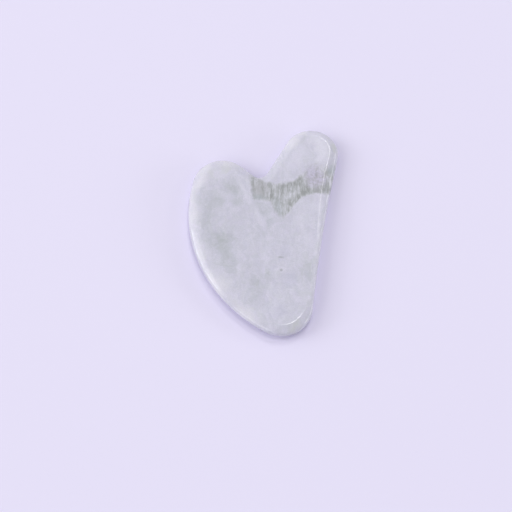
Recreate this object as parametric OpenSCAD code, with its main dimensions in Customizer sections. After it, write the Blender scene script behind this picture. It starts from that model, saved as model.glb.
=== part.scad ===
// Gua sha scraper: one flat polished stone with two lobes, a notch between them and a long rounded tip.
// Millimetres. The back face lies on z = 0, +Y points to the lobes, the origin is mid-outline.

/* [Overall size] */
// Length from the tip to the top of the high lobe
length = 84; // [70:0.5:104]
// Width from the belly to the outer side of the high lobe
width = 56.5; // [50:0.5:76]
// Thickness between the two flat faces
thickness = 5.5; // [4.5:0.25:7]

/* [Lobes and notch] */
// Radius of the high lobe
high_r = 10.5; // [8:0.25:14]
// Radius of the low lobe
low_r = 11.25; // [8:0.25:14]
// Height of the high lobe above the low lobe
lobe_step = 13.75; // [6:0.25:20]
// Radius at the bottom of the notch
notch_r = 3.25; // [1.5:0.25:6]
// Slope of the notch side that falls from the low lobe, in degrees
low_slope = 40; // [30:1:48]
// Slope of the notch side that falls from the high lobe, in degrees
high_slope = 61; // [50:1:70]

/* [Tip and sides] */
// Radius of the tip
tip_r = 11.25; // [7.5:0.25:15]
// Sideways place of the tip, measured from the middle of the width
tip_x = 6.5; // [0:0.5:12]
// How far the belly stands out past the low lobe
belly_out = 1; // [0.4:0.1:4]
// Depth of the hollow in the side under the high lobe
hollow = 0.9; // [0.4:0.1:3]

/* [Edge] */
// Width of the rounded border around both flat faces
edge_w = 3.25; // [2.25:0.25:4]
// Slope of the border where it leaves the flat face, in degrees
edge_slope = 16; // [6:1:22]

/* [Hidden] */
$fa = 2.5;
$fs = 0.5;

// Round ends of the outline
high = [width / 2 - high_r, length / 2 - high_r];
low = [belly_out + low_r - width / 2, length / 2 - lobe_step - low_r];
tip = [tip_x, tip_r - length / 2];

// Belly: the circle that touches the low lobe, the tip and the line at half the width
tip_out = width / 2 + tip_x - tip_r;
square_part = 1 / belly_out - 1 / tip_out;
line_part = low.y / belly_out - tip.y / tip_out;
ends_part = 2 * low_r + belly_out - 2 * tip_r - tip_out;
fixed_part = low.y * low.y / belly_out - tip.y * tip.y / tip_out + ends_part;
belly_y = (line_part - sqrt(line_part * line_part - square_part * fixed_part)) / square_part;
belly_r = low_r + (pow(low.y - belly_y, 2) / belly_out + belly_out) / 2;
belly = [belly_r - width / 2, belly_y];

// Hollow side: a wide circle outside the stone that touches the high lobe and the tip
span = norm(tip - high);
along = (tip - high) / span;
hollow_r = (span * span / 4 + hollow * hollow) / (2 * hollow) - (high_r + tip_r) / 2;
foot = (pow(hollow_r + high_r, 2) - pow(hollow_r + tip_r, 2) + span * span) / (2 * span);
side = high + foot * along + leg(hollow_r + high_r, foot) * [-along.y, along.x];

// Notch: a small circle outside the stone that touches both sloping sides
low_n = [sin(low_slope), cos(low_slope)];
high_n = [-sin(high_slope), cos(high_slope)];
low_off = low_n * low + low_r + notch_r;
high_off = high_n * high + high_r + notch_r;
notch_turn = low_slope + high_slope;
notch_x = (low_off * high_n.y - high_off * low_n.y) / sin(notch_turn);
notch_y = (low_n.x * high_off - high_n.x * low_off) / sin(notch_turn);
notch = [notch_x, notch_y];
high_run = leg(norm(notch - high), high_r + notch_r);
low_run = leg(norm(notch - low), low_r + notch_r);

// Where each arc of the outline starts and how far it turns, counter-clockwise
high_from = bearing(high, side) - 360;
high_turn = 90 + high_slope - high_from;
notch_from = 270 - low_slope;
low_from = 90 - low_slope;
belly_from = bearing(belly, low);
low_turn = belly_from - low_from;
tip_from = bearing(belly, tip);
belly_turn = tip_from - belly_from;
tip_turn = bearing(tip, side) - tip_from;
side_from = bearing(side, high);
side_turn = bearing(side, tip) - side_from;

// Edge section: two arcs that flow into each other, from the flat face round to the rim
half_t = thickness / 2;
blend = 1 - sin(edge_slope);
drop = edge_w * cos(edge_slope) + half_t * (1 + sin(edge_slope));
reach = (sqrt(drop * drop + 2 * blend * (edge_w * edge_w + half_t * half_t)) - drop) / (2 * blend);
meet = [(edge_w - reach * cos(edge_slope)) / 2, (half_t + reach * blend) / 2];
rim_r = (meet * meet) / (2 * meet.x);
fall = half_t - meet.y;
run = edge_w - meet.x;
border_r = (run * run + fall * fall) / (2 * (fall * cos(edge_slope) - run * sin(edge_slope)));
border_x = edge_w + border_r * sin(edge_slope);
border_z = border_r * cos(edge_slope) - half_t;

// How deep the pieces of the edge reach into the stone, and where the flat middle begins
overlap = 1;
edge_in = edge_w + overlap;
core_in = edge_w + overlap / 2;
steps = 12;

// Shorter side of a right-angled triangle
function leg(slant, other) = sqrt(slant * slant - other * other);
// Direction from one point to another, 0 to 360 degrees
function bearing(from, to) = (atan2(to.y - from.y, to.x - from.x) + 360) % 360;
// One step in a direction
function toward(angle) = [cos(angle), sin(angle)];
// Points along an arc, from its start or back from its end
function arc(mid, r, from, turn) = [for (i = [0:steps]) mid + r * toward(from + turn * i / steps)];
function arc_back(mid, r, from, turn) = arc(mid, r, from + turn, -turn);

// Cross-section of the edge, from the rim at x = 0 inwards
module edge_section() {
    intersection() {
        translate([rim_r, half_t]) circle(rim_r);
        square([meet.x, thickness]);
    }
    intersection() {
        translate([meet.x, 0]) square([edge_in - meet.x, thickness]);
        translate([border_x, half_t - border_z]) circle(border_r);
        translate([border_x, half_t + border_z]) circle(border_r);
    }
    translate([edge_w, 0]) square([edge_in - edge_w, thickness]);
}

// Edge that bulges, around a centre inside the stone
module bulging_edge(mid, r, from, turn)
    translate(mid) rotate(from) rotate_extrude(angle = turn)
        translate([r, 0]) mirror([1, 0]) edge_section();

// Edge that is hollow, around a centre outside the stone
module hollow_edge(mid, r, from, turn)
    translate(mid) rotate(from) rotate_extrude(angle = turn)
        translate([r, 0]) edge_section();

// Straight edge, from its start to the left of the inward direction
module straight_edge(start, inward, run)
    translate(start) rotate([90, 0, inward]) linear_extrude(run) edge_section();

// Flat middle of the stone
module core()
    linear_extrude(thickness) polygon(concat(
        arc(high, high_r - core_in, high_from, high_turn),
        arc_back(notch, notch_r + core_in, notch_from, notch_turn),
        arc(low, low_r - core_in, low_from, low_turn),
        arc(belly, belly_r - core_in, belly_from, belly_turn),
        arc(tip, tip_r - core_in, tip_from, tip_turn),
        arc_back(side, hollow_r + core_in, side_from, side_turn)));

// Joins pieces at a small scale, so that hairline gaps between touching arcs close
module weld()
    scale(10000) union() for (i = [0:$children - 1]) scale(0.0001) children(i);

module stone()
    color([0.79, 0.8, 0.83]) weld() {
        core();
        bulging_edge(high, high_r, high_from, high_turn);
        straight_edge(high + high_r * high_n, 270 + high_slope, high_run);
        hollow_edge(notch, notch_r, notch_from, notch_turn);
        straight_edge(notch - notch_r * low_n, 270 - low_slope, low_run);
        bulging_edge(low, low_r, low_from, low_turn);
        bulging_edge(belly, belly_r, belly_from, belly_turn);
        bulging_edge(tip, tip_r, tip_from, tip_turn);
        hollow_edge(side, hollow_r, side_from, side_turn);
    }

stone();
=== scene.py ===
from math import atan2, cos, exp, pi, radians, sin, sqrt, tan

import bmesh
import bpy
from mathutils import Matrix, Vector
from mathutils.kdtree import KDTree


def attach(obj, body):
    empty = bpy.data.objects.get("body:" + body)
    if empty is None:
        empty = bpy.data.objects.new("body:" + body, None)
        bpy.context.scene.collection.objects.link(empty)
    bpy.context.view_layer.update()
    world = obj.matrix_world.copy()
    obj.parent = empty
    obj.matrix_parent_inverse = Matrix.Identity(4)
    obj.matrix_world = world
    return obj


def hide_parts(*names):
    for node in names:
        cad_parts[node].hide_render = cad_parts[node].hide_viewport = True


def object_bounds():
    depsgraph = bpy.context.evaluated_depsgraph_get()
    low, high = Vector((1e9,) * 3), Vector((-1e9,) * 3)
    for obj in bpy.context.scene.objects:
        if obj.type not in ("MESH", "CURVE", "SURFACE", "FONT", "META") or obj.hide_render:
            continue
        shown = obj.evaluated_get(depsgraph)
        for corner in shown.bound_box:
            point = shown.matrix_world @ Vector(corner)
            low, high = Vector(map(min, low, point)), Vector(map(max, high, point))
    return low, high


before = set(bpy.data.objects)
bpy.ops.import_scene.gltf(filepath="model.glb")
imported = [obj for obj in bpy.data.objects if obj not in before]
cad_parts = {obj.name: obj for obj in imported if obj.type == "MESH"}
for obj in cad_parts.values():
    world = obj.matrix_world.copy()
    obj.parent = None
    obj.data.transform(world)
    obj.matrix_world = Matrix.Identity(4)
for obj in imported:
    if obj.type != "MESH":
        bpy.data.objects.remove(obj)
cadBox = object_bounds()
print("frame: one stone,", [round(1000 * side, 2) for side in cadBox[1] - cadBox[0]], "mm")

mm = 0.001


def tone(red, green, blue):
    # screen colour, 0 to 255, to the linear colour that shaders take
    steps = [part / 255 for part in (red, green, blue)]
    linear = [part / 12.92 if part <= 0.04045 else ((part + 0.055) / 1.055) ** 2.4 for part in steps]
    return (*linear, 1.0)


# camera at the photograph's viewing angle
cameraSpot = {
    "place": Vector((-0.17, -136.06, 282.65)) * mm,
    "right": Vector((0.99989, 0.01427, -0.00294)),
    "up": Vector((-0.01184, 0.91340, 0.40689)),
    "lens": 59.11,
    "sensor": 36.0,
    "clipStart": 0.01,
}


def setCamera(spot):
    camera = bpy.data.objects.new("camera", bpy.data.cameras.new("camera"))
    back = spot["right"].cross(spot["up"])
    turn = Matrix((spot["right"], spot["up"], back)).transposed()
    camera.matrix_world = Matrix.Translation(spot["place"]) @ turn.to_4x4()
    camera.data.lens = spot["lens"]
    camera.data.sensor_width = spot["sensor"]
    camera.data.clip_start = spot["clipStart"]
    bpy.context.scene.collection.objects.link(camera)
    bpy.context.scene.camera = camera


setCamera(cameraSpot)
print("camera set")

# sizes of the stone in millimetres and degrees
stoneShape = {
    "length": 84.0,
    "width": 56.5,
    "thickness": 5.5,
    "highRadius": 10.5,
    "lowRadius": 11.25,
    "lobeStep": 13.75,
    "notchRadius": 3.25,
    "lowSlope": 40.0,
    "highSlope": 61.0,
    "tipRadius": 11.25,
    "tipX": 6.5,
    "bellyOut": 1.0,
    "hollow": 0.9,
    "edgeWidth": 3.25,
    "edgeSlope": 16.0,
    "creaseRound": 0.5,  # polished-over line between face and border
    "creaseSteps": 6,
    "stepLength": 0.6,  # length of one mesh step along the outline
    "leastArcSteps": 8,
    "leastLineSteps": 2,
    "creaseStep": 0.13,  # share of the border beside the crease that stays one mesh step
    "borderSteps": 8,
    "rimSteps": 16,
    "mergeGap": 0.05,
    "rimGap": 0.01,  # how near mid-height a vertex counts as rim
    "faceRings": 9,  # narrow rings that carry the border's flow into the flat face
    "ringWidth": 0.4,
    # width and slope of the border from the high lobe down the hollow side and into the tip
    "handWidth": (
        (0.0, 1.0), (0.14, 1.06), (0.3, 1.0), (0.42, 0.85), (0.62, 0.7), (0.9, 0.7), (1.0, 0.84), (1.1, 1.0),
    ),
    "handSlope": (
        (0.0, 1.0), (0.12, 0.95), (0.25, 0.6), (0.38, 0.32), (0.5, 0.18),
        (0.62, 0.1), (0.9, 0.1), (1.0, 0.4), (1.08, 0.85), (1.14, 1.0),
    ),
    # left of a slanting line the border flows into the face without a crease
    "softMiddle": 9.4,
    "softLean": 0.153,
    "softSpan": 7.0,
    "softReach": 1.25,
}


def leg(slant, other):
    return sqrt(max(0.0, slant * slant - other * other))


def bearing(start, end):
    return atan2(end.y - start.y, end.x - start.x) % (2 * pi)


def toward(angle):
    return Vector((cos(angle), sin(angle), 0))


def outlineOf(shape):
    # arcs and straight runs of the outline, counter-clockwise from the side of the high lobe
    length, width = shape["length"], shape["width"]
    highR, lowR = shape["highRadius"], shape["lowRadius"]
    tipR, notchR = shape["tipRadius"], shape["notchRadius"]
    out, hollow = shape["bellyOut"], shape["hollow"]
    lowSlope, highSlope = radians(shape["lowSlope"]), radians(shape["highSlope"])
    high = Vector((width / 2 - highR, length / 2 - highR, 0))
    low = Vector((out + lowR - width / 2, length / 2 - shape["lobeStep"] - lowR, 0))
    tip = Vector((shape["tipX"], tipR - length / 2, 0))
    # belly: touches the low lobe, the tip and the line at half the width
    tipOut = width / 2 + shape["tipX"] - tipR
    squarePart = 1 / out - 1 / tipOut
    linePart = low.y / out - tip.y / tipOut
    fixedPart = low.y ** 2 / out - tip.y ** 2 / tipOut + 2 * lowR + out - 2 * tipR - tipOut
    bellyY = (linePart - sqrt(linePart ** 2 - squarePart * fixedPart)) / squarePart
    bellyR = lowR + ((low.y - bellyY) ** 2 / out + out) / 2
    belly = Vector((bellyR - width / 2, bellyY, 0))
    # hollow side: a wide circle outside the stone
    span = (tip - high).length
    along = (tip - high) / span
    hollowR = (span ** 2 / 4 + hollow ** 2) / (2 * hollow) - (highR + tipR) / 2
    foot = ((hollowR + highR) ** 2 - (hollowR + tipR) ** 2 + span ** 2) / (2 * span)
    side = high + foot * along + leg(hollowR + highR, foot) * Vector((-along.y, along.x, 0))
    # notch: touches both sloping sides
    lowN, highN = toward(pi / 2 - lowSlope), toward(pi / 2 + highSlope)
    lowOff, highOff = lowN.dot(low) + lowR + notchR, highN.dot(high) + highR + notchR
    notchTurn = lowSlope + highSlope
    notchX = (lowOff * highN.y - highOff * lowN.y) / sin(notchTurn)
    notchY = (lowN.x * highOff - highN.x * lowOff) / sin(notchTurn)
    notch = Vector((notchX, notchY, 0))
    start = bearing(high, side) - 2 * pi
    bellyFrom, tipFrom = bearing(belly, low), bearing(belly, tip)
    runs = [
        ("arc", high, highR, pi / 2 + highSlope - start),
        ("line", toward(pi + highSlope), leg((notch - high).length, highR + notchR)),
        ("arc", notch, notchR, -notchTurn),
        ("line", toward(pi - lowSlope), leg((notch - low).length, lowR + notchR)),
        ("arc", low, lowR, bellyFrom - pi / 2 + lowSlope),
        ("arc", belly, bellyR, tipFrom - bellyFrom),
        ("arc", tip, tipR, bearing(tip, side) - tipFrom),
        ("arc", side, hollowR, bearing(side, high) - bearing(side, tip)),
    ]
    return high + highR * toward(start), start, runs, side, hollowR


def edgeArcs(shape):
    # the border's arc and the rim's arc, which flow into each other at the meeting point
    wide, half, slope = shape["edgeWidth"], shape["thickness"] / 2, radians(shape["edgeSlope"])
    blend = 1 - sin(slope)
    drop = wide * cos(slope) + half * (1 + sin(slope))
    reach = (sqrt(drop ** 2 + 2 * blend * (wide ** 2 + half ** 2)) - drop) / (2 * blend)
    meetIn, meetUp = (wide - reach * cos(slope)) / 2, (half + reach * blend) / 2
    rimR = (meetIn ** 2 + meetUp ** 2) / (2 * meetIn)
    fall, run = half - meetUp, wide - meetIn
    borderR = (run ** 2 + fall ** 2) / (2 * (fall * cos(slope) - run * sin(slope)))
    return meetIn, meetUp, rimR, borderR, wide + borderR * sin(slope), borderR * cos(slope) - half


def drawEdge(bm, shape):
    # section of the edge in the XZ plane, rim at x = 0, by spinning one vertex
    half = shape["thickness"] / 2
    meetIn, meetUp, rimR, _, borderIn, borderDown = edgeArcs(shape)
    rimStart = atan2(rimR - meetIn, meetUp)
    borderTurn = atan2(borderIn - meetIn, meetUp + borderDown) - radians(shape["edgeSlope"])
    beside = shape["creaseStep"]
    front, back = (-borderIn, 0, half - borderDown), (-borderIn, 0, half + borderDown)
    arcs = [
        (front, borderTurn * beside, 1),
        (front, borderTurn * (1 - beside), shape["borderSteps"]),
        ((-rimR, 0, half), pi - 2 * rimStart, shape["rimSteps"]),
        (back, borderTurn * (1 - beside), shape["borderSteps"]),
        (back, borderTurn * beside, 1),
    ]
    last = [bm.verts.new((-shape["edgeWidth"], 0, shape["thickness"]))]
    for centre, turn, steps in arcs:
        spun = bmesh.ops.spin(bm, geom=last, cent=centre, axis=(0, 1, 0), angle=turn, steps=steps)
        last = spun["geom_last"]
    return bm.verts[:] + bm.edges[:]


def softDrop(shape, arcs, inset):
    # depth below the face at a distance from the rim, where the crease is rubbed away
    half, wide, reach = shape["thickness"] / 2, shape["edgeWidth"], shape["softReach"]
    meetIn, _, rimR, borderR, borderIn, borderDown = arcs
    steep = reach * tan(radians(shape["edgeSlope"]))
    rubbed = steep / (1 + steep / half)
    if inset >= wide:
        last = exp(-(shape["faceRings"] * shape["ringWidth"] + shape["creaseRound"]) / reach)
        return rubbed * max(0.0, exp((wide - inset) / reach) - last) / (1 - last)
    height = leg(borderR, borderIn - inset) - borderDown
    if inset < meetIn:
        height = leg(rimR, rimR - inset)
    return rubbed + (1 - rubbed / half) * (half - height)


def flowBetween(points, share):
    # smooth value through the given points
    last = len(points) - 1
    spot = next((number for number in range(last) if share <= points[number + 1][0]), None)
    if spot is None or share <= points[0][0]:
        return points[last if spot is None else 0][1]
    around = [points[min(max(spot + step, 0), last)] for step in (-1, 0, 1, 2)]
    (x0, y0), (x1, y1), (x2, y2), (x3, y3) = around
    part, gap = (share - x1) / (x2 - x1), x2 - x1
    leave, arrive = gap * (y2 - y0) / (x2 - x0), gap * (y3 - y1) / (x3 - x1)
    bend = part * part * (3 - 2 * part)
    return y1 + (y2 - y1) * bend + part * (1 - part) * (leave * (1 - part) - arrive * part)


def flatten(height, half, slope):
    # a border that leaves the face at a lower slope, and turns faster into the rim
    drop = half - abs(height - half)
    drop *= slope + (1 - slope) * (drop / half) ** 3
    return half + (half - drop if height > half else drop - half)


def grindByHand(vert, inward, inset, share, shape):
    # gives one vertex of the edge the border's width and slope at its place along the hollow side
    vert.co += inward * inset * (flowBetween(shape["handWidth"], share) - 1)
    vert.co.z = flatten(vert.co.z, shape["thickness"] / 2, flowBetween(shape["handSlope"], share))


def makeStone(shape):
    bm = bmesh.new()
    section = drawEdge(bm, shape)
    start, angle, runs, side, hollowR = outlineOf(shape)
    verts = [part for part in section if isinstance(part, bmesh.types.BMVert)]
    bmesh.ops.rotate(bm, verts=verts, cent=(0, 0, 0), matrix=Matrix.Rotation(angle, 3, "Z"))
    bmesh.ops.translate(bm, verts=verts, vec=start)
    strips = []
    for kind, place, size, *turn in runs:
        known = set(bm.verts)
        if kind == "arc":
            steps = max(shape["leastArcSteps"], round(abs(turn[0]) * size / shape["stepLength"]))
            spun = bmesh.ops.spin(bm, geom=section, cent=place, axis=(0, 0, 1), angle=turn[0], steps=steps)
            section = spun["geom_last"]
        else:
            steps = max(shape["leastLineSteps"], round(size / shape["stepLength"]))
            for count in range(steps):
                edges = [part for part in section if isinstance(part, bmesh.types.BMEdge)]
                section = bmesh.ops.extrude_edge_only(bm, edges=edges)["geom"]
                section = [part for part in section if not isinstance(part, bmesh.types.BMFace)]
                moved = [part for part in section if isinstance(part, bmesh.types.BMVert)]
                bmesh.ops.translate(bm, verts=moved, vec=place * size / steps)
        strips.append([vert for vert in bm.verts if vert not in known])
    # the border was ground by hand, and is flatter along the hollow side
    sideFrom, sideTurn = bearing(side, runs[0][1]), abs(runs[-1][3])
    tip, tipR = runs[-2][1:3]
    tipEnd = bearing(tip, side)
    for vert in strips[-1]:
        spoke = Vector((vert.co.x, vert.co.y, 0)) - side
        share = (atan2(spoke.y, spoke.x) - sideFrom) / sideTurn
        grindByHand(vert, spoke.normalized(), spoke.length - hollowR, share, shape)
    for vert in strips[-2]:
        spoke = Vector((vert.co.x, vert.co.y, 0)) - tip
        share = 1 + (tipEnd - atan2(spoke.y, spoke.x) % (2 * pi)) * tipR / (sideTurn * hollowR)
        grindByHand(vert, -spoke.normalized(), tipR - spoke.length, share, shape)
    bmesh.ops.remove_doubles(bm, verts=bm.verts, dist=shape["mergeGap"])
    faceLoops = [edge for edge in bm.edges if edge.is_boundary]
    bmesh.ops.holes_fill(bm, edges=faceLoops, sides=0)
    bmesh.ops.bevel(
        bm, geom=faceLoops, offset=shape["creaseRound"], offset_type="OFFSET", segments=shape["creaseSteps"],
        profile=0.5, affect="EDGES", material=-1, clamp_overlap=True,
    )
    # narrow rings around both flat faces
    faces = sorted(bm.faces, key=lambda face: face.calc_area())[-2:]
    for ring in range(shape["faceRings"]):
        bmesh.ops.inset_region(bm, faces=faces, thickness=shape["ringWidth"], use_even_offset=True)
    bmesh.ops.recalc_face_normals(bm, faces=bm.faces)
    # rub the crease away on the belly side
    half = shape["thickness"] / 2
    rim = [vert.co.copy() for vert in bm.verts if abs(vert.co.z - half) < shape["rimGap"]]
    nearRim = KDTree(len(rim))
    for number, spot in enumerate(rim):
        nearRim.insert(spot, number)
    nearRim.balance()
    arcs = edgeArcs(shape)
    for vert in bm.verts:
        past = shape["softMiddle"] + shape["softLean"] * vert.co.y - vert.co.x
        share = min(max(0.5 + past / shape["softSpan"], 0.0), 1.0)
        inset = nearRim.find((vert.co.x, vert.co.y, half))[2]
        drop = half - abs(vert.co.z - half)
        drop += share * share * (3 - 2 * share) * (softDrop(shape, arcs, inset) - drop)
        vert.co.z = half + (half - drop if vert.co.z > half else drop - half)
    for face in bm.faces:
        face.smooth = True
    bmesh.ops.scale(bm, vec=(mm, mm, mm), verts=bm.verts)
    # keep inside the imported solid's box
    low = Vector([min(vert.co[axis] for vert in bm.verts) for axis in range(3)])
    high = Vector([max(vert.co[axis] for vert in bm.verts) for axis in range(3)])
    size, room = high - low, cadBox[1] - cadBox[0]
    fit = Vector([min(1.0, room[axis] / size[axis]) for axis in range(3)])
    bmesh.ops.scale(bm, vec=fit, verts=bm.verts)
    shift = (cadBox[0] + cadBox[1]) / 2 - Matrix.Diagonal(fit) @ (low + high) / 2
    bmesh.ops.translate(bm, verts=bm.verts, vec=shift)
    mesh = bpy.data.meshes.new("polishedStone")
    bm.to_mesh(mesh)
    bm.free()
    piece = bpy.data.objects.new("polishedStone", mesh)
    bpy.context.scene.collection.objects.link(piece)
    return piece


polishedStone = makeStone(stoneShape)
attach(polishedStone, "root")
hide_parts("stone")
print("stone:", len(polishedStone.data.polygons), "faces")


# node helpers
def wire(tree, source, socket):
    if isinstance(source, bpy.types.NodeSocket):
        tree.links.new(source, socket)
    else:
        socket.default_value = source


def mathOf(tree, operation, first, second=0.0, clamp=False):
    node = tree.nodes.new("ShaderNodeMath")
    node.operation, node.use_clamp = operation, clamp
    wire(tree, first, node.inputs[0])
    wire(tree, second, node.inputs[1])
    return node.outputs[0]


def timesOf(tree, first, second):
    return mathOf(tree, "MULTIPLY", first, second)


def vectorOf(tree, operation, first, second):
    node = tree.nodes.new("ShaderNodeVectorMath")
    node.operation = operation
    wire(tree, first, node.inputs[0])
    wire(tree, second, node.inputs["Scale" if operation == "SCALE" else 1])
    return node.outputs[0]


def easeOf(tree, value, fromLow, fromHigh, toLow=0.0, toHigh=1.0):
    node = tree.nodes.new("ShaderNodeMapRange")
    node.interpolation_type = "SMOOTHSTEP"
    for number, source in enumerate((value, fromLow, fromHigh, toLow, toHigh)):
        wire(tree, source, node.inputs[number])
    return node.outputs[0]


def noiseOf(tree, vector, scale, detail=3.0, rough=0.5, twist=0.0):
    node = tree.nodes.new("ShaderNodeTexNoise")
    wire(tree, vector, node.inputs["Vector"])
    settings = {"Scale": scale, "Detail": detail, "Roughness": rough, "Distortion": twist}
    for name, value in settings.items():
        node.inputs[name].default_value = value
    return node


def cloudOf(tree, vector, scale, detail, rough, low, high, toLow=0.0, toHigh=1.0):
    # noise with its contrast set between two levels
    fog = noiseOf(tree, vector, scale, detail, rough).outputs["Fac"]
    return easeOf(tree, fog, low, high, toLow, toHigh)


def wobbleOf(tree, vector, scale):
    # noise in three directions, around zero
    return vectorOf(tree, "SUBTRACT", noiseOf(tree, vector, scale).outputs["Color"], (0.5, 0.5, 0.5))


def swayOf(tree, vector, push, reach):
    return vectorOf(tree, "ADD", vector, vectorOf(tree, "SCALE", push, reach))


def stretchOf(tree, vector, scale, turn=0.0):
    node = tree.nodes.new("ShaderNodeMapping")
    wire(tree, vector, node.inputs["Vector"])
    node.inputs["Rotation"].default_value = (0, 0, radians(turn))
    node.inputs["Scale"].default_value = scale
    return node.outputs[0]


def mixOf(tree, share, first, second, blend="MIX"):
    node = tree.nodes.new("ShaderNodeMix")
    node.data_type, node.blend_type = "RGBA", blend
    wire(tree, share, node.inputs["Factor"])
    wire(tree, first, node.inputs[6])
    wire(tree, second, node.inputs[7])
    return node.outputs[2]


def curveOf(tree, value, points):
    # points run from 0 to 1 both ways
    node = tree.nodes.new("ShaderNodeFloatCurve")
    line = node.mapping.curves[0]
    line.points[0].location, line.points[-1].location = points[0], points[-1]
    for spot in points[1:-1]:
        line.points.new(*spot)
    for spot in line.points:
        spot.handle_type = "AUTO_CLAMPED"
    node.mapping.update()
    wire(tree, value, node.inputs["Value"])
    return node.outputs[0]


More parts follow.
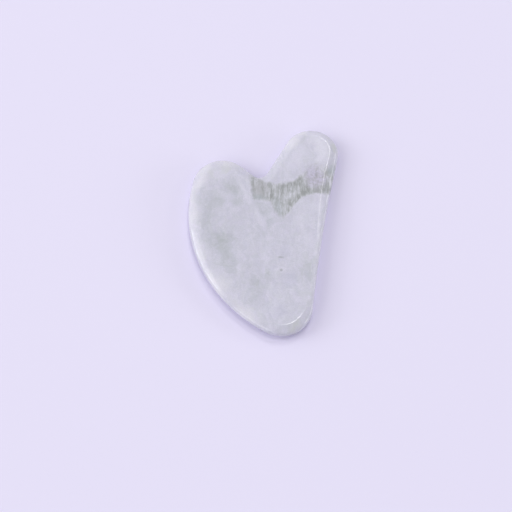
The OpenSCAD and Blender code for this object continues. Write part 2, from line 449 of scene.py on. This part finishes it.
# pale jade: places in millimetres on the front face, colours as seen
jade = {
    # pale streaks and patches, and painted highlight glow beside the high lobe's crease
    "whiteAndPaintedSheen": (226, 225, 238),
    # painted rim sheen: the brighter lit border and its broad reflection
    "paintedRimSheen": (231, 229, 237),
    "milk": (218, 216, 232),
    "ground": (210, 208, 223),
    "moss": (180, 184, 190),
    # olive tint, and painted shade on the high lobe's right border and on the tip's border
    "oliveAndPaintedShade": (200, 202, 203),
    "lilac": (194, 189, 212),
    "slate": (193, 193, 211),
    "bark": (175, 175, 180),
    "teal": (168, 176, 183),
    "fibreDark": (167, 170, 171),
    "fibrePale": (204, 205, 215),
    "shade": (145, 149, 147),
    "fleck": (146, 149, 152),
    "specks": (160, 158, 164),
    # clouds of the jade's colour, and painted sheen and shade along the borders
    # x, y, half width, half height, turn, colour, strength
    "clouds": (
        (-15.5, -7.0, 7.5, 6.5, 0, "moss", 0.95),
        (-20.5, 3.0, 5.0, 12.0, 0, "moss", 0.6),
        (-12.2, 14.6, 5.2, 4.6, -20, "moss", 0.72),
        (-12.5, -14.5, 4.8, 8.5, 28, "moss", 0.65),
        (-17.4, 9.2, 2.8, 3.6, 30, "moss", 0.65),
        (-10.0, 10.0, 3.6, 3.0, 0, "moss", 0.5),
        (-2.2, -24.6, 4.8, 6.2, 0, "moss", 0.62),
        (2.5, -20.0, 1.8, 6.0, 0, "moss", 0.5),
        (6.0, -33.0, 4.0, 4.5, 0, "slate", 0.6),
        (9.0, -22.0, 2.6, 5.5, 0, "slate", 0.65),
        (16.0, -17.5, 5.6, 7.5, -8, "moss", 0.36),
        (-14.6, 23.4, 4.4, 2.2, 0, "oliveAndPaintedShade", 0.55),
        (-20.6, 21.2, 3.0, 2.2, 35, "oliveAndPaintedShade", 0.5),
        (0.0, 7.0, 6.0, 3.6, 0, "moss", 0.5),
        (2.2, 1.8, 2.6, 4.4, -15, "teal", 0.5),
        # painted rim sheen along the high lobe's top and left border
        (10.0, 36.5, 5.0, 6.5, -30, "paintedRimSheen", 0.6),
        (14.0, 40.0, 4.5, 2.6, 15, "paintedRimSheen", 0.6),
        # painted shade: darker band on the high lobe's right border, with an olive tint
        (27.0, 34.0, 2.0, 6.0, 0, "oliveAndPaintedShade", 0.6),
        (14.0, 31.5, 5.0, 5.5, -30, "milk", 0.6),
        (8.0, -10.0, 3.6, 3.2, 0, "slate", 0.7),
        (17.0, -6.5, 3.4, 5.0, -8, "milk", 0.5),
        # painted rim sheen along the low lobe's top border
        (-14.0, 26.2, 9.0, 3.2, 0, "paintedRimSheen", 0.6),
        (-22.5, 24.6, 2.6, 5.0, -48, "paintedRimSheen", 0.6),
        (-16.5, 21.5, 7.0, 4.0, 0, "whiteAndPaintedSheen", 0.35),
        # painted rim sheen along the left belly and the low lobe's left border
        (-26.8, 5.0, 4.0, 14.0, 3, "paintedRimSheen", 0.55),
        (-23.4, -11.2, 4.6, 8.5, 19, "paintedRimSheen", 0.25),
        (-24.0, 18.5, 4.0, 8.0, -22, "paintedRimSheen", 0.5),
        (20.0, 8.5, 4.0, 4.0, 0, "milk", 0.6),
        (-7.4, 13.5, 2.4, 7.5, 24, "whiteAndPaintedSheen", 0.4),
        (-1.5, 3.0, 2.0, 7.0, 38, "milk", 0.5),
        (14.0, 3.0, 6.0, 9.0, -20, "milk", 0.4),
        # painted highlight glow beside the high lobe's crease, over the lobe's paler tone
        (21.8, 31.0, 3.6, 10.0, -8, "whiteAndPaintedSheen", 0.6),
        (19.5, 37.0, 5.5, 3.4, -40, "whiteAndPaintedSheen", 0.65),
        (10.5, 26.5, 5.0, 7.5, -32, "milk", 0.6),
        (-9.0, -17.0, 2.0, 4.6, 0, "milk", 0.7),
        (0.4, -13.5, 1.6, 5.0, 6, "milk", 0.5),
        (4.4, -32.0, 1.6, 6.0, 0, "milk", 0.5),
        # painted shade: darker band on the tip's border, with an olive-brown tint
        (12.5, -39.2, 3.6, 2.4, 35, "oliveAndPaintedShade", 0.6),
        # painted rim sheen along the lower left borders
        (-16.4, -23.6, 5.0, 10.0, 34, "paintedRimSheen", 0.6),
        (-6.2, -34.4, 5.0, 10.0, 50, "paintedRimSheen", 0.6),
    ),
    # vein between the notch and the hollow side
    "veinFrom": -8.0,
    "veinTo": 30.0,
    "veinRise": 30.0,
    "veinTop": (
        (-8, 21.4), (-4.5, 21.6), (-2, 20.2), (0, 18.9), (2.2, 18.1), (5, 17.2), (8, 17.8), (11, 18.7),
        (13, 20.2), (15, 22.0), (18, 23.8), (22, 26.0), (30, 29.0),
    ),
    "veinFoot": (
        (-8, 11.0), (-3.5, 10.2), (0, 10.0), (2, 9.2), (3.2, 6.4), (4.6, 3.6), (6.4, 2.6), (8, 3.8),
        (10, 6.4), (12, 8.9), (14, 11.2), (16, 12.2), (18, 13.0), (20, 13.4), (30, 13.0),
    ),
    "veinFootFade": ((-8, 0.9), (1.5, 0.9), (3.5, 2.6), (6, 2.4), (8.5, 0.8), (30, 0.7)),
    "veinTopFade": ((-8, 2.0), (1, 1.6), (6, 1.0), (18, 1.1), (24, 5.0), (30, 6.0)),
    "veinStart": -4.9,
    "startLevel": 15.0,
    "startLean": 0.14,
    "startFade": (-0.8, 0.9),
    "footFadeFrom": -0.6,
    "topFadeFrom": -0.8,
    "veinShare": 0.95,
    # blocks and dark threads inside the vein
    "blocks": (
        (-1.5, 15.0, 5.0, 6.5, 0, "bark", 0.75),
        (-2.0, 11.2, 4.4, 2.4, 0, "teal", 0.5),
        (5.0, 7.5, 2.6, 6.0, 8, "teal", 0.45),
        (10.4, 12.4, 2.4, 5.0, -14, "fibrePale", 0.3),
        (4.4, 15.6, 1.4, 3.4, 0, "fibrePale", 0.5),
        (7.8, 7.0, 1.3, 4.0, -8, "fibrePale", 0.6),
        (25.2, 24.4, 2.4, 3.8, -10, "teal", 0.8),
    ),
    "shades": (
        (-4.3, 15.0, 0.9, 6.0, 0, "shade", 0.55),
        (-3.2, 12.0, 0.6, 2.4, 0, "shade", 0.5),
        (1.2, 12.2, 0.6, 2.6, 0, "shade", 0.5),
        (4.6, 9.5, 0.6, 4.6, -3, "shade", 0.5),
        (3.5, 7.0, 0.6, 3.0, 8, "shade", 0.4),
        (-0.6, 14.0, 0.8, 6.0, 0, "shade", 0.6),
        (2.7, 13.0, 1.1, 7.0, 4, "shade", 0.75),
        (6.6, 15.4, 3.4, 3.2, 14, "shade", 0.6),
        (10.0, 16.9, 4.0, 2.2, 14, "shade", 0.75),
        (13.4, 18.6, 2.2, 3.0, -20, "shade", 0.7),
        (6.4, 11.5, 1.4, 4.5, 0, "shade", 0.65),
        (8.6, 13.6, 1.2, 3.4, -10, "shade", 0.45),
        (9.2, 8.4, 1.4, 3.6, -14, "shade", 0.6),
        (12.4, 11.2, 2.0, 3.4, -35, "shade", 0.75),
        (15.4, 14.8, 3.8, 3.8, 0, "shade", 0.9),
        (15.4, 21.2, 0.9, 3.4, -35, "shade", 0.5),
        (14.2, 17.4, 1.6, 3.6, -10, "shade", 0.6),
        (20.0, 16.8, 3.2, 2.4, 0, "shade", 0.45),
        (20.0, 14.8, 3.8, 2.4, 0, "shade", 0.6),
        (22.6, 15.8, 1.3, 3.8, -6, "shade", 0.75),
        (24.4, 14.6, 2.4, 2.6, 0, "shade", 0.55),
        (3.0, 15.0, 1.0, 1.6, 0, "shade", 0.4),
        (7.0, 11.0, 1.3, 1.6, 0, "shade", 0.5),
        (9.0, 16.8, 1.6, 1.2, 14, "shade", 0.35),
        (11.0, 14.6, 1.6, 2.0, -10, "shade", 0.4),
        (13.0, 10.9, 1.4, 1.4, -35, "shade", 0.45),
        (17.2, 13.4, 1.4, 1.8, 0, "shade", 0.6),
    ),
    "speckleAt": (19.3, 20.6, 5.2, 8.2),
    "inclusions": ((6.2, -13.0, 1.7, 0.6, -6, 0.5), (6.4, -18.0, 0.8, 0.8, 0, 0.6)),
    # slow changes of hue, as factors on the colour
    "pinkish": (1.005, 0.997, 1.006, 1.0),
    "greenish": (0.996, 1.003, 0.99, 1.0),
    # drift and ripple bend the pattern: sizes per millimetre, reaches in millimetres
    "driftSize": 0.14,
    "driftReach": 7.0,
    "rippleSize": 0.6,
    "rippleReach": 2.2,
    "fibreSway": 1.2,
    "threadSway": 1.6,
    "frayReach": 1.8,
    # stretched noise: factors along x, y and z, and degrees
    "grainStretch": (1.2, 0.2, 1.0),
    "fibreStretch": (1.0, 0.15, 0.4),
    "fibreTurn": 5,
    "blotchStretch": (1.0, 0.6, 0.6),
    "speckStretch": (1.0, 0.45, 1.0),
    "speckTurn": -24,
    # clouds of noise: size per millimetre, detail, roughness, lower and upper level
    "largeNoise": (0.1, 5.0, 0.6, 0.36, 0.64),
    "smallNoise": (0.38, 5.0, 0.64, 0.34, 0.68),
    "grainNoise": (0.6, 4.0, 0.66, 0.36, 0.64),
    "mottleNoise": (1.1, 4.0, 0.6, 0.36, 0.64),
    "hueNoise": (0.3, 4.0, 0.6, 0.34, 0.66),
    "speckNoise": (0.9, 5.0, 0.7, 0.42, 0.62),
    "crystalNoise": (3.2, 2.0, 0.6, 0.3, 0.7),
    "hazeNoise": (0.5, 3.0, 0.5, 0.3, 0.7),
    # plain noise: size per millimetre, detail, roughness, twist
    "frayNoise": (1.1, 4.0, 0.65, 0.0),
    "blotchNoise": (0.55, 4.0, 0.6, 0.5),
    "threadNoise": (1.7, 4.0, 0.6, 0.3),
    "bumpNoise": (0.5, 2.0, 0.5, 0.0),
    # shares of the colour
    "largeShare": 0.6,
    "smallShare": 0.34,
    "grainShare": 0.4,
    "mottleShare": 0.12,
    "leastCloud": 0.6,
    "blotchShare": 0.6,
    "fibreLevels": (0.64, 0.96),
    "shadeOnPale": 0.55,
    "patchShare": 0.85,
    "speckShare": 0.75,
    "crystalShare": 0.045,
    "spotCore": 0.85,
    # how deep a cloud and an inclusion reach into the stone
    "cloudDepth": 9.0,
    "fleckDepth": 2.0,
    # polish and depth of the light
    "roughness": 0.1,
    "fibreDull": 0.06,
    "hazeDull": 0.05,
    "ior": 1.61,
    "glowShare": 0.35,
    "glowRadius": (1.0, 1.0, 0.9),
    "glowDepth": 1.2,
    "bumpStrength": 0.12,
    "bumpDepth": 0.05,
}


def spotOf(tree, vector, x, y, wide, tall, turn, deep):
    # soft round mask, 1 in the middle
    ball = tree.nodes.new("ShaderNodeTexGradient")
    ball.gradient_type = "SPHERICAL"
    wire(tree, vector, ball.inputs["Vector"])
    ball.texture_mapping.vector_type = "TEXTURE"
    ball.texture_mapping.translation = (x, y, stoneShape["thickness"])
    ball.texture_mapping.rotation = (0, 0, radians(turn))
    ball.texture_mapping.scale = (wide, tall, deep)
    return easeOf(tree, ball.outputs["Fac"], 0.0, jade["spotCore"])


def addSpots(tree, vector, patchy, colour, spots, finish):
    for x, y, wide, tall, turn, name, strength in spots:
        share = timesOf(tree, spotOf(tree, vector, x, y, wide, tall, turn, finish["cloudDepth"]), patchy)
        colour = mixOf(tree, timesOf(tree, share, strength), colour, tone(*finish[name]))
    return colour


def veinLine(tree, across, points):
    span = jade["veinTo"] - jade["veinFrom"]
    spots = [((x - jade["veinFrom"]) / span, y / jade["veinRise"]) for x, y in points]
    return timesOf(tree, curveOf(tree, across, spots), jade["veinRise"])


def jadeMaterial(finish):
    material = bpy.data.materials.new("polishedJade")
    material.use_nodes = True
    tree = material.node_tree
    shader = tree.nodes["Principled BSDF"]
    coordinates = tree.nodes.new("ShaderNodeTexCoord")
    place = vectorOf(tree, "SCALE", coordinates.outputs["Object"], 1 / mm)  # millimetres

    # slow drift that bends every cloud a little
    bent = swayOf(tree, place, wobbleOf(tree, place, finish["driftSize"]), finish["driftReach"])
    ripple = wobbleOf(tree, place, finish["rippleSize"])
    bent = swayOf(tree, bent, ripple, finish["rippleReach"])

    # ground: large and small clouds with fine upright grain
    large = cloudOf(tree, bent, *finish["largeNoise"])
    small = cloudOf(tree, bent, *finish["smallNoise"])
    grain = cloudOf(tree, stretchOf(tree, bent, finish["grainStretch"]), *finish["grainNoise"])
    mottle = cloudOf(tree, bent, *finish["mottleNoise"])
    colour = tone(*finish["ground"])
    layers = (
        (large, "largeShare", "milk"), (small, "smallShare", "moss"),
        (grain, "grainShare", "slate"), (mottle, "mottleShare", "moss"),
    )
    for mask, share, name in layers:
        colour = mixOf(tree, timesOf(tree, mask, finish[share]), colour, tone(*finish[name]))
    patchy = easeOf(tree, small, 0.0, 1.0, finish["leastCloud"], 1.0)
    # clouds of the jade, with painted sheen and shade on the borders
    colour = addSpots(tree, bent, patchy, colour, finish["clouds"], finish)
    hue = cloudOf(tree, bent, *finish["hueNoise"])
    tint = mixOf(tree, hue, finish["pinkish"], finish["greenish"])
    colour = mixOf(tree, 1.0, colour, tint, "MULTIPLY")

    # vein: upright fibres between two wavy lines, cut off slanting beside the notch
    swayed = swayOf(tree, place, ripple, finish["fibreSway"])
    frayed = stretchOf(tree, swayed, finish["fibreStretch"], finish["fibreTurn"])
    fray = noiseOf(tree, frayed, *finish["frayNoise"]).outputs["Fac"]
    fray = timesOf(tree, mathOf(tree, "SUBTRACT", fray, 0.5), finish["frayReach"])
    axes = tree.nodes.new("ShaderNodeSeparateXYZ")
    tree.links.new(swayed, axes.inputs[0])
    span = finish["veinTo"] - finish["veinFrom"]
    across = mathOf(tree, "SUBTRACT", axes.outputs["X"], finish["veinFrom"])
    across = mathOf(tree, "DIVIDE", across, span, True)
    lines = ("veinTop", "veinFoot", "veinTopFade", "veinFootFade")
    top, foot, topFade, footFade = (veinLine(tree, across, finish[name]) for name in lines)
    height = mathOf(tree, "ADD", axes.outputs["Y"], fray)
    overFoot = easeOf(tree, mathOf(tree, "SUBTRACT", height, foot), finish["footFadeFrom"], footFade)
    underTop = easeOf(tree, mathOf(tree, "SUBTRACT", top, height), finish["topFadeFrom"], topFade)
    slant = mathOf(tree, "SUBTRACT", axes.outputs["Y"], finish["startLevel"])
    slant = mathOf(tree, "ADD", axes.outputs["X"], timesOf(tree, slant, finish["startLean"]))
    pastStart = easeOf(tree, mathOf(tree, "SUBTRACT", slant, finish["veinStart"]), *finish["startFade"])
    vein = timesOf(tree, timesOf(tree, overFoot, underTop), pastStart)
    blotch = stretchOf(tree, place, finish["blotchStretch"])
    blotch = noiseOf(tree, blotch, *finish["blotchNoise"]).outputs["Fac"]
    thread = noiseOf(tree, frayed, *finish["threadNoise"]).outputs["Fac"]
    fibres = mathOf(tree, "ADD", timesOf(tree, blotch, finish["blotchShare"]), thread)
    fibres = easeOf(tree, fibres, *finish["fibreLevels"])
    fibreColour = mixOf(tree, fibres, tone(*finish["fibreDark"]), tone(*finish["fibrePale"]))
    threaded = swayOf(tree, place, ripple, finish["threadSway"])
    fibreColour = addSpots(tree, threaded, 1.0, fibreColour, finish["blocks"], finish)
    # the shades show most between pale fibres
    between = easeOf(tree, fibres, 0.0, 1.0, 1.0, finish["shadeOnPale"])
    fibreColour = addSpots(tree, threaded, between, fibreColour, finish["shades"], finish)
    colour = mixOf(tree, timesOf(tree, vein, finish["veinShare"]), colour, fibreColour)

    # lilac patch with dark specks over the right end of the vein
    patch = spotOf(tree, bent, *finish["speckleAt"], 0, finish["cloudDepth"])
    slanting = stretchOf(tree, bent, finish["speckStretch"], finish["speckTurn"])
    specks = timesOf(tree, cloudOf(tree, slanting, *finish["speckNoise"]), finish["speckShare"])
    patchColour = mixOf(tree, specks, tone(*finish["lilac"]), tone(*finish["specks"]))
    colour = mixOf(tree, timesOf(tree, patch, finish["patchShare"]), colour, patchColour)

    # inclusions, and fine crystals all over
    for x, y, wide, tall, turn, strength in finish["inclusions"]:
        fleck = spotOf(tree, place, x, y, wide, tall, turn, finish["fleckDepth"])
        colour = mixOf(tree, timesOf(tree, fleck, strength), colour, tone(*finish["fleck"]))
    least, most = 1 - finish["crystalShare"], 1 + finish["crystalShare"]
    crystals = cloudOf(tree, place, *finish["crystalNoise"], least, most)
    colour = mixOf(tree, 1.0, colour, vectorOf(tree, "SCALE", (1, 1, 1), crystals), "MULTIPLY")
    tree.links.new(colour, shader.inputs["Base Color"])

    # polish: nearly a mirror, a little duller in the fibres
    dull = timesOf(tree, timesOf(tree, vein, fibres), finish["fibreDull"])
    haze = cloudOf(tree, place, *finish["hazeNoise"], 0.0, finish["hazeDull"])
    rough = mathOf(tree, "ADD", mathOf(tree, "ADD", dull, haze), finish["roughness"])
    tree.links.new(rough, shader.inputs["Roughness"])
    shader.inputs["IOR"].default_value = finish["ior"]
    shader.inputs["Subsurface Weight"].default_value = finish["glowShare"]
    shader.inputs["Subsurface Radius"].default_value = finish["glowRadius"]
    shader.inputs["Subsurface Scale"].default_value = finish["glowDepth"] * mm
    bump = tree.nodes.new("ShaderNodeBump")
    bump.inputs["Strength"].default_value = finish["bumpStrength"]
    bump.inputs["Distance"].default_value = finish["bumpDepth"] * mm
    tree.links.new(noiseOf(tree, place, *finish["bumpNoise"]).outputs["Fac"], bump.inputs["Height"])
    tree.links.new(bump.outputs["Normal"], shader.inputs["Normal"])
    return material


polishedStone.data.materials.append(jadeMaterial(jade))
print("jade:", len(polishedStone.data.materials[0].node_tree.nodes), "nodes")

studio = {
    "floorSize": 1.6,
    "floor": (232, 227, 250),
    "floorRoughness": 0.8,
    "floorGloss": 0.0,
    "ambient": 0.4,
    # name, direction from the stone, distance, width, length, turn, watts
    "lamps": (
        ("lowLamp", (-0.94, 0.0, 0.34), 4.0, 1.2, 2.4, 0, 38.0),
        ("sideLamp", (-0.8, 0.05, 0.6), 4.0, 2.0, 2.0, 0, 26.4),
        ("backLamp", (-0.6, 0.6, 0.5), 4.0, 3.4, 3.4, 0, 21.6),
        ("frontLamp", (-0.6, -0.6, 0.5), 4.0, 2.0, 2.0, 0, 21.6),
        ("rightLamp", (0.94, -0.15, 0.2), 4.0, 0.8, 2.4, 0, 36.0),
        ("rightStrip", (0.84, 0.34, 0.4), 4.0, 0.5, 1.2, 0, 9.6),
        ("lobeStrip", (0.24, 0.71, 1.0), 4.0, 0.4, 0.9, 0, 19.2),
        ("sideStrip", (0.24, 0.48, 1.0), 4.0, 0.36, 0.9, 14, 1.0),
        ("tipBox", (0.173, 0.149, 1.0), 4.0, 0.72, 1.08, 36, 20.0),
    ),
}


def makeStudio(setup):
    bm = bmesh.new()
    bmesh.ops.create_grid(bm, x_segments=1, y_segments=1, size=setup["floorSize"] / 2)
    mesh = bpy.data.meshes.new("floor")
    bm.to_mesh(mesh)
    bm.free()
    floor = bpy.data.objects.new("floor", mesh)
    bpy.context.scene.collection.objects.link(floor)
    paper = bpy.data.materials.new("paleFloor")
    paper.use_nodes = True
    shader = paper.node_tree.nodes["Principled BSDF"]
    shader.inputs["Base Color"].default_value = tone(*setup["floor"])
    shader.inputs["Roughness"].default_value = setup["floorRoughness"]
    shader.inputs["Specular IOR Level"].default_value = setup["floorGloss"]
    mesh.materials.append(paper)
    for name, direction, away, wide, tall, roll, watts in setup["lamps"]:
        lamp = bpy.data.lights.new(name, "AREA")
        lamp.shape, lamp.size, lamp.size_y, lamp.energy = "RECTANGLE", wide, tall, watts
        spot = bpy.data.objects.new(name, lamp)
        facing = Vector(direction).normalized()
        across = Vector((0, 1, 0)).cross(facing).normalized()
        turn = Matrix((across, facing.cross(across), facing)).transposed()
        turn = turn @ Matrix.Rotation(radians(roll), 3, "Z")
        spot.matrix_world = Matrix.Translation(facing * away) @ turn.to_4x4()
        bpy.context.scene.collection.objects.link(spot)
    world = bpy.data.worlds.new("studio")
    bpy.context.scene.world = world
    world.use_nodes = True
    tree = world.node_tree
    light = tree.nodes["Background"]
    light.inputs["Color"].default_value = (1, 1, 1, 1)
    light.inputs["Strength"].default_value = setup["ambient"]
    backdrop = tree.nodes.new("ShaderNodeBackground")
    backdrop.inputs["Color"].default_value = tone(*setup["floor"])
    rays = tree.nodes.new("ShaderNodeLightPath")
    seen = mathOf(tree, "ADD", rays.outputs["Is Camera Ray"], rays.outputs["Is Glossy Ray"])
    seen = mathOf(tree, "ADD", seen, rays.outputs["Is Transmission Ray"], True)
    mix = tree.nodes.new("ShaderNodeMixShader")
    tree.links.new(seen, mix.inputs[0])
    tree.links.new(light.outputs[0], mix.inputs[1])
    tree.links.new(backdrop.outputs[0], mix.inputs[2])
    tree.links.new(mix.outputs[0], tree.nodes["World Output"].inputs["Surface"])


makeStudio(studio)
bpy.context.scene.view_settings.view_transform = "Standard"
print("studio set")
